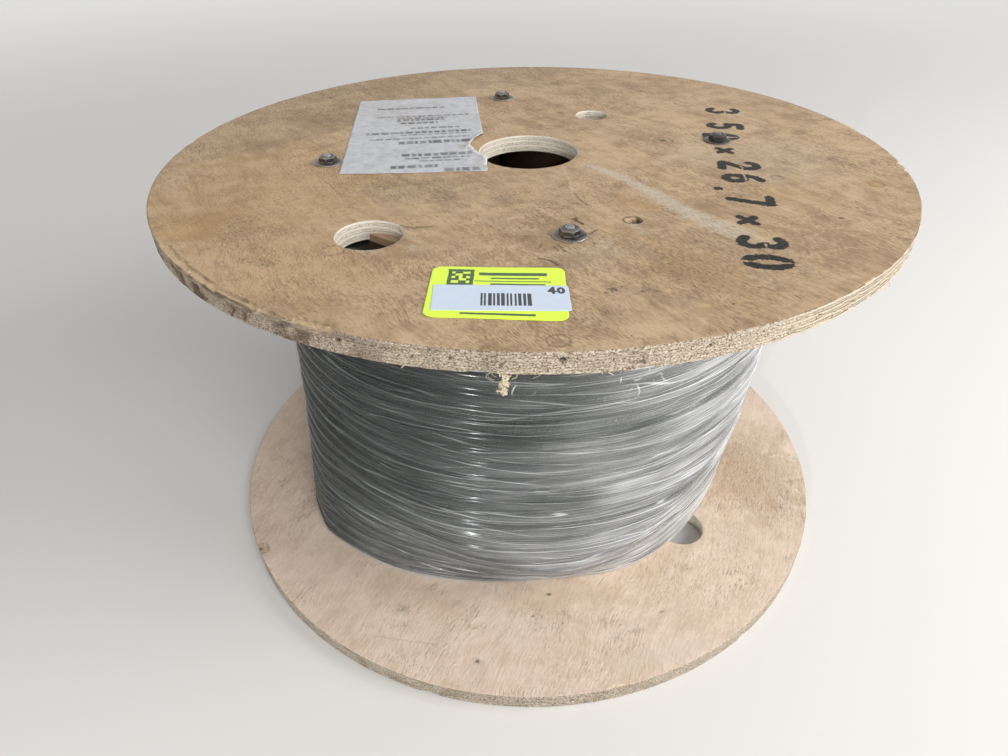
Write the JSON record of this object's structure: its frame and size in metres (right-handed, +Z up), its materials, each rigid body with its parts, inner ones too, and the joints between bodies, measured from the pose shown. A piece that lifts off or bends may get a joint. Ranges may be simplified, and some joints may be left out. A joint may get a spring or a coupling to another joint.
{
  "type": "wooden cable drum",
  "caption": "Round plywood cable drum standing on its flange, wound with black cable under clear film, with an arbor bore, drive holes and through bolts.",
  "frame": {"origin": "centre of the lower flange's underside, on the floor", "axes": "+Z up along the drum's axis; the four through bolts lie on the X and Y axes; the pictured side faces -Y"},
  "size_m": [0.508, 0.508, 0.2964],
  "materials": {
    "pale_plywood": "bare",
    "aged_plywood": "bare, weathered",
    "fibre_tube": "matt",
    "black_cable": "satin",
    "clear_film": "glossy, wrinkled",
    "white_paper": "matt, scuffed",
    "yellow_paper": "matt",
    "zinc_steel": "dull zinc"
  },
  "bodies": {
    "root": {"bottom_flange": "pale_plywood", "top_flange": "aged_plywood", "barrel": "fibre_tube", "cable_winding": "black_cable", "stretch_film": "clear_film", "paper_label": "white_paper", "yellow_tag": "yellow_paper", "white_sticker": "white_paper", "through_bolt_1": "zinc_steel", "through_bolt_2": "zinc_steel", "through_bolt_3": "zinc_steel", "through_bolt_4": "zinc_steel", "washers": "zinc_steel", "nuts": "zinc_steel"}
  },
  "joints": []
}
